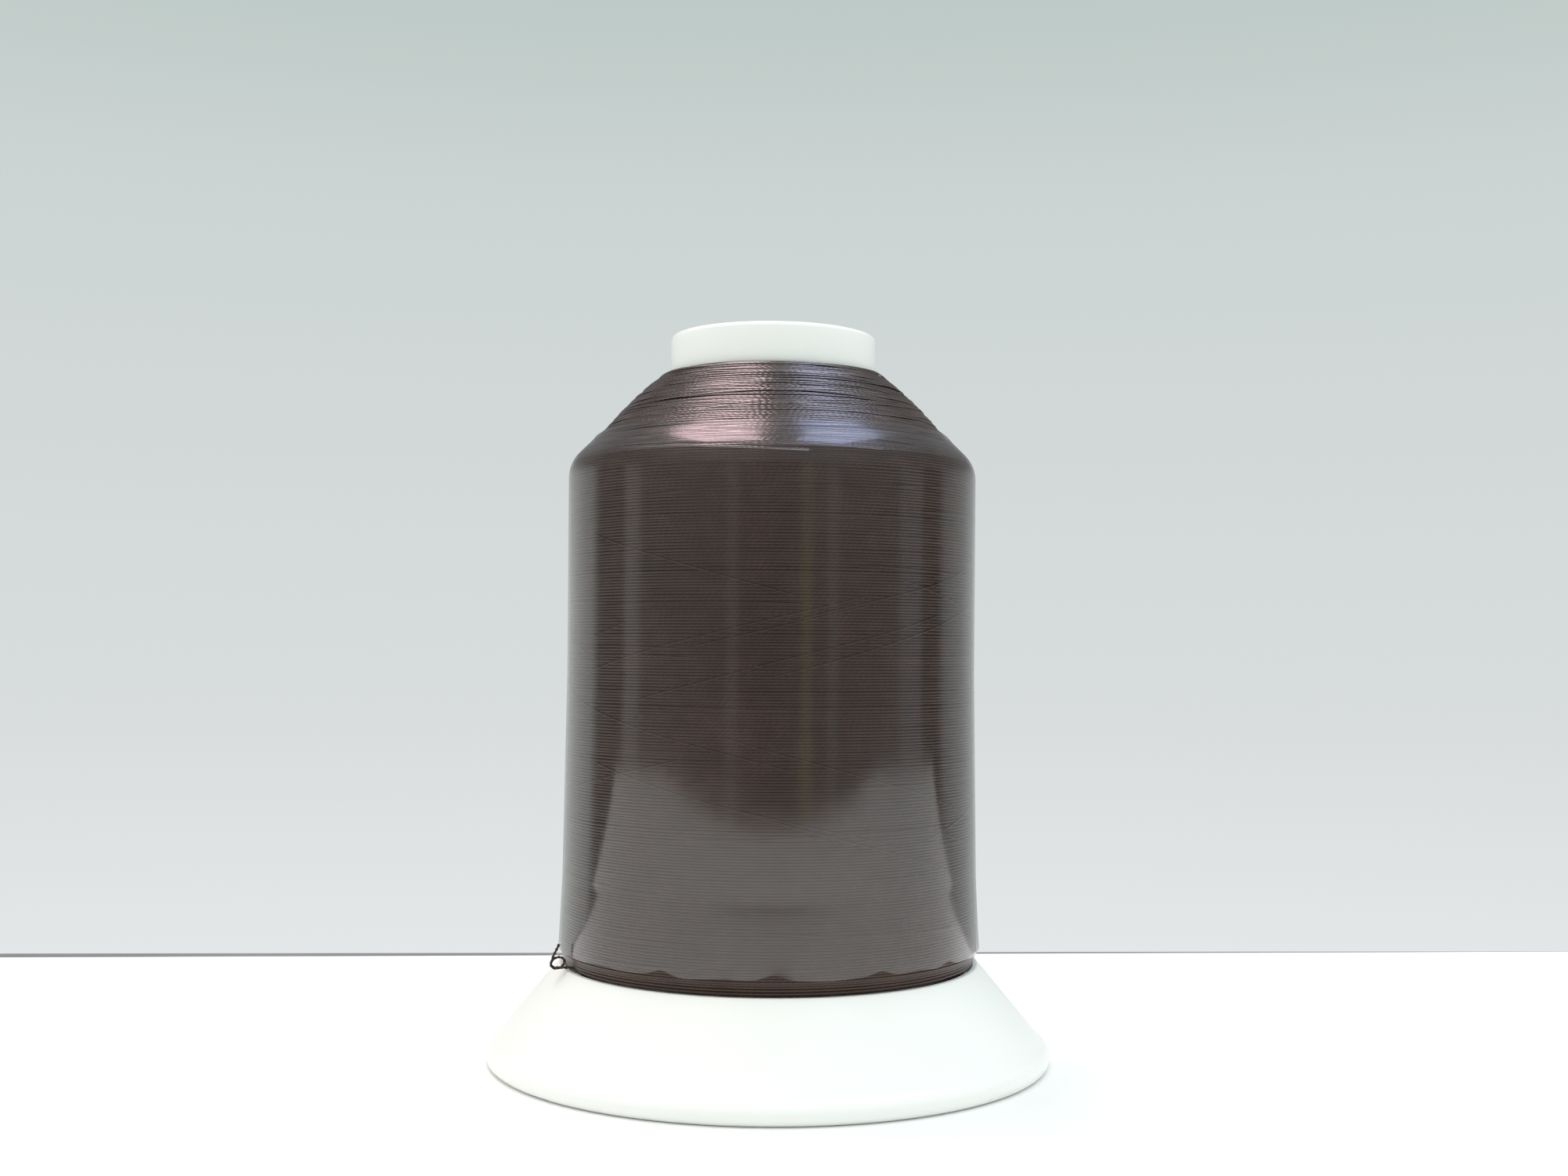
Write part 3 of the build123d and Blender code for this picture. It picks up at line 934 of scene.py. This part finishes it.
# Near eye level the room is dark in front and beside the table, with pale upright shapes such as
# windows and door frames, and the wall behind the table is pale. Azimuth 0 is behind the camera.
ROOM = [
    (-180, (0.46, 0.48, 0.47)), (-118, (0.62, 0.64, 0.63)), (-110, (0.13, 0.13, 0.13)),
    (-90, (0.11, 0.11, 0.12)), (-86, (0.50, 0.50, 0.50)), (-79, (0.46, 0.46, 0.46)),
    (-74, (0.16, 0.17, 0.16)), (-52, (0.15, 0.14, 0.13)), (-26, (0.10, 0.09, 0.08)),
    (-22, (0.26, 0.24, 0.23)), (-19, (0.24, 0.22, 0.22)), (-16, (0.09, 0.07, 0.07)),
    (-2, (0.07, 0.06, 0.06)), (15, (0.08, 0.08, 0.06)), (18, (0.30, 0.27, 0.14)),
    (21, (0.28, 0.26, 0.15)), (24, (0.10, 0.09, 0.09)), (30, (0.11, 0.10, 0.10)),
    (32, (0.24, 0.24, 0.23)), (36, (0.22, 0.22, 0.22)), (39, (0.10, 0.09, 0.09)),
    (62, (0.11, 0.11, 0.12)), (73, (0.10, 0.11, 0.12)), (77, (0.30, 0.32, 0.34)),
    (90, (0.26, 0.28, 0.30)), (93, (0.03, 0.03, 0.03)), (105, (0.03, 0.03, 0.03)),
    (112, (0.36, 0.38, 0.38)), (122, (0.42, 0.44, 0.44)), (150, (0.46, 0.48, 0.48)),
    (180, (0.46, 0.48, 0.47)),
]
room_azimuth = math_node(tree, "ARCTAN2", x, math_node(tree, "MULTIPLY", y, -1.0))
turn_share = add_node(
    tree, "ShaderNodeMapRange", {"Value": room_azimuth, "From Min": -math.pi, "From Max": math.pi}
).outputs["Result"]
low_colour = ramp(tree, turn_share, [((a + 180) / 360, colour) for a, colour in ROOM])


def grey(level):
    return add_node(tree, "ShaderNodeCombineXYZ", {"X": level, "Y": level, "Z": level}).outputs[0]


def tinted(vector, colour):
    node = add_node(tree, "ShaderNodeVectorMath", {0: vector, 1: colour}, operation="MULTIPLY")
    return node.outputs[0]


def blend(factor, first, second):
    node = add_node(tree, "ShaderNodeMix", {"Factor": factor}, data_type="VECTOR")
    tree.links.new(first, node.inputs[4])
    tree.links.new(second, node.inputs[5])
    return node.outputs[1]


# What the glossy surfaces mirror: the room near eye level, and a dim ceiling above it
mirrored = blend(step(z, 0.02, 0.26, 0.0, 1.0), low_colour, grey(step(y, -0.6, 0.5, 0.24, 0.18)))
# What lights the matt surfaces: soft light from above and all round, less from low in front
soft_level = step(y, -0.8, 0.2, 1.05, 1.2)
low_level = step(y, -0.7, 0.5, 0.45, 0.8)
soft = tinted(blend(step(z, 0.05, 0.4, 0.0, 1.0), grey(low_level), grey(soft_level)), (0.95, 1.03, 0.97))
path = add_node(tree, "ShaderNodeLightPath")
lit = blend(path.outputs["Is Glossy Ray"], soft, mirrored)
room_light = add_node(tree, "ShaderNodeBackground", {"Color": lit, "Strength": 1.0})
# The wall behind, from its foot up, as the camera sees it
WALL_TONES = [
    (0.0, (0.8, 0.83, 0.835)), (0.06, (0.775, 0.8, 0.806)), (0.26, (0.687, 0.716, 0.723)),
    (0.49, (0.645, 0.687, 0.687)), (0.69, (0.597, 0.651, 0.651)), (0.8, (0.53, 0.604, 0.584)),
    (1.0, (0.42, 0.5, 0.48)),
]
wall_height = add_node(
    tree, "ShaderNodeMapRange", {"Value": z, "From Min": -0.2, "From Max": 0.45}
).outputs["Result"]
seen = ramp(tree, wall_height, WALL_TONES)
wall = add_node(tree, "ShaderNodeBackground", {"Color": seen, "Strength": 1.0})
world_mix = add_node(tree, "ShaderNodeMixShader", {"Fac": path.outputs["Is Camera Ray"]})
tree.links.new(room_light.outputs[0], world_mix.inputs[1])
tree.links.new(wall.outputs[0], world_mix.inputs[2])
world_out = add_node(tree, "ShaderNodeOutputWorld")
tree.links.new(world_mix.outputs[0], world_out.inputs["Surface"])


def ceiling_panel(name, x_range, y_range, height, radiance, colour):
    """A soft panel that faces down."""
    data = bpy.data.lights.new(name, "AREA")
    data.shape = "RECTANGLE"
    data.size = x_range[1] - x_range[0]
    data.size_y = y_range[1] - y_range[0]
    data.energy = radiance * math.pi * data.size * data.size_y
    data.color = colour
    lamp = add_object(name, data)
    lamp.location = (sum(x_range) / 2, sum(y_range) / 2, height)


ceiling_panel("panel_left", (-0.47, -0.07), (-0.25, 0.75), 1.05, 4.0, (1.0, 0.72, 0.76))
ceiling_panel("panel_right", (0.15, 0.5), (-0.25, 0.75), 1.05, 2.4, (0.60, 0.67, 1.0))

bpy.context.scene.view_settings.view_transform = "Standard"
